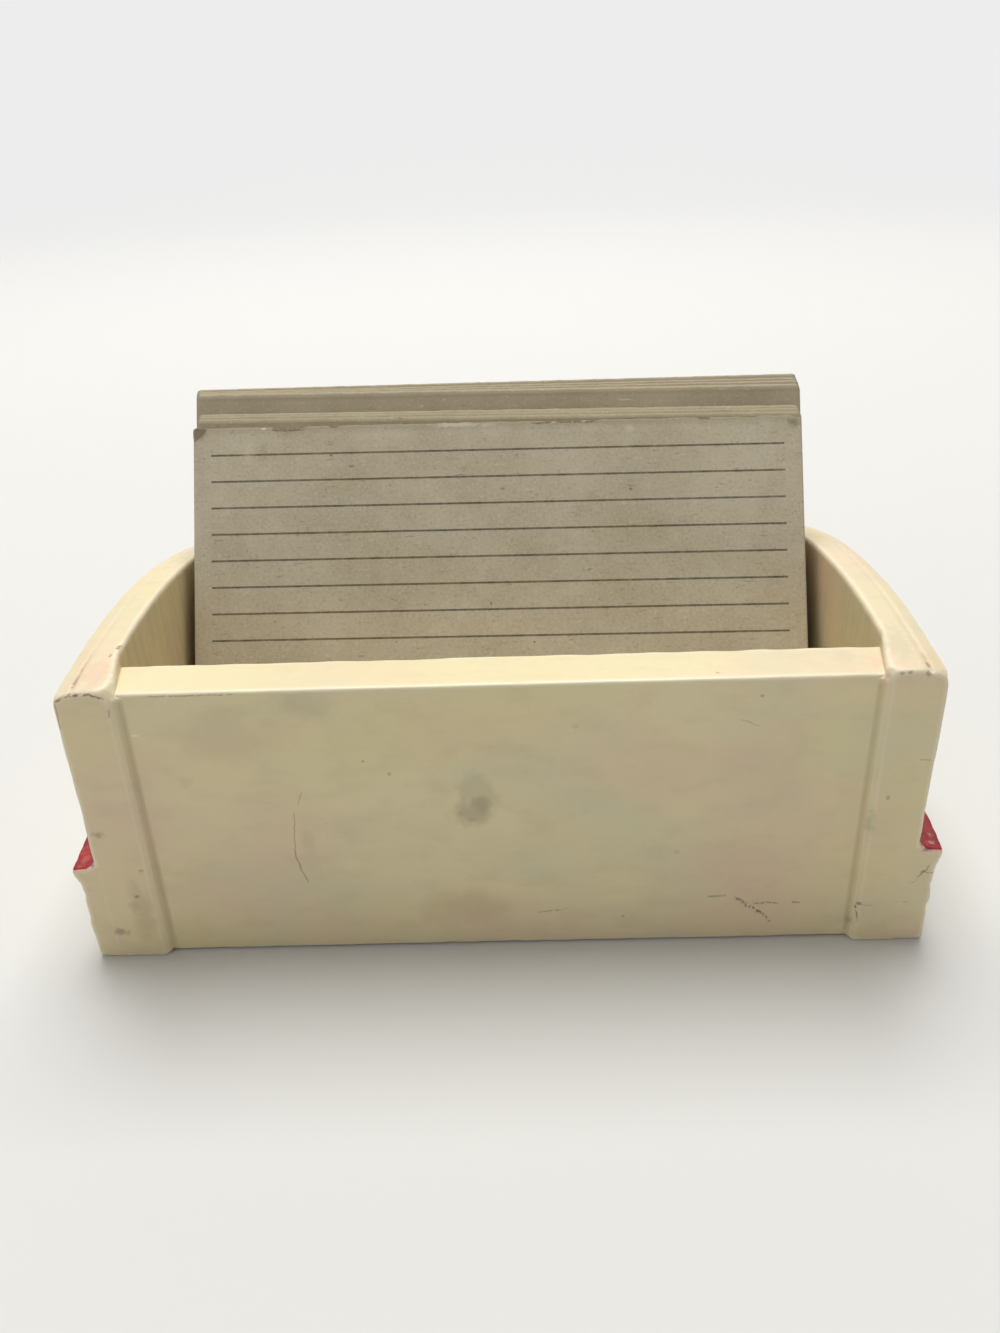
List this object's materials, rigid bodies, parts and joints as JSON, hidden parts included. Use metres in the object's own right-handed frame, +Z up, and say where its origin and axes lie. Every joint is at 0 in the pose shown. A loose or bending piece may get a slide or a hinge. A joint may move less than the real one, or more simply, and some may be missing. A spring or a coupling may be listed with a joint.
{
  "type": "recipe box",
  "caption": "Open-topped painted wooden card box with arch-topped end boards, a ledged plinth and leaning packets of recipe cards.",
  "frame": {"origin": "on the plane the box rests on, under the middle of the overall box", "axes": "+X to the right as the pictured back panel is faced, +Y from the high back panel to the low front panel that the cards lean on, +Z up"},
  "size_m": [0.1884, 0.1158, 0.1057],
  "materials": {
    "ivory_paint": "aged ivory paint on wood, satin, worn at the edges",
    "plinth_paint": "aged ivory paint on wood with a red painted ledge",
    "brad_steel": "plain steel, covered by paint outside",
    "ruled_card": "aged manila card with faint ruled lines, matt",
    "card_stock": "aged manila card, matt",
    "guide_stock": "aged heavier manila guide card, matt"
  },
  "bodies": {
    "box": {"left_end_board": "ivory_paint", "right_end_board": "ivory_paint", "back_panel": "ivory_paint", "front_panel": "ivory_paint", "floor_panel": "ivory_paint", "left_plinth": "plinth_paint", "right_plinth": "plinth_paint", "front_plinth": "plinth_paint", "corner_brads": "brad_steel", "floor_brads": "brad_steel", "plinth_pins": "brad_steel"},
    "rear_packet": {"rear_cards": "card_stock"},
    "guide_packet": {"guide_cards": "guide_stock"},
    "middle_packet": {"middle_cards": "card_stock"},
    "front_packet": {"front_card": "ruled_card"}
  },
  "joints": [
    {"name": "rear_tip", "type": "hinge", "parent": "box", "child": "rear_packet", "pos_m": [0, -0.0275, 0.01008], "axis": [1, 0, 0], "range_deg": [0, 12]},
    {"name": "guide_tip", "type": "hinge", "parent": "rear_packet", "child": "guide_packet", "pos_m": [0, -0.0275, 0.01008], "axis": [1, 0, 0], "range_deg": [0, 12]},
    {"name": "middle_tip", "type": "hinge", "parent": "guide_packet", "child": "middle_packet", "pos_m": [0, -0.0275, 0.01008], "axis": [1, 0, 0], "range_deg": [0, 18]},
    {"name": "front_lift", "type": "slide", "parent": "middle_packet", "child": "front_packet", "axis": [0, 0.5032, 0.8642], "range_m": [0, 0.095]}
  ]
}
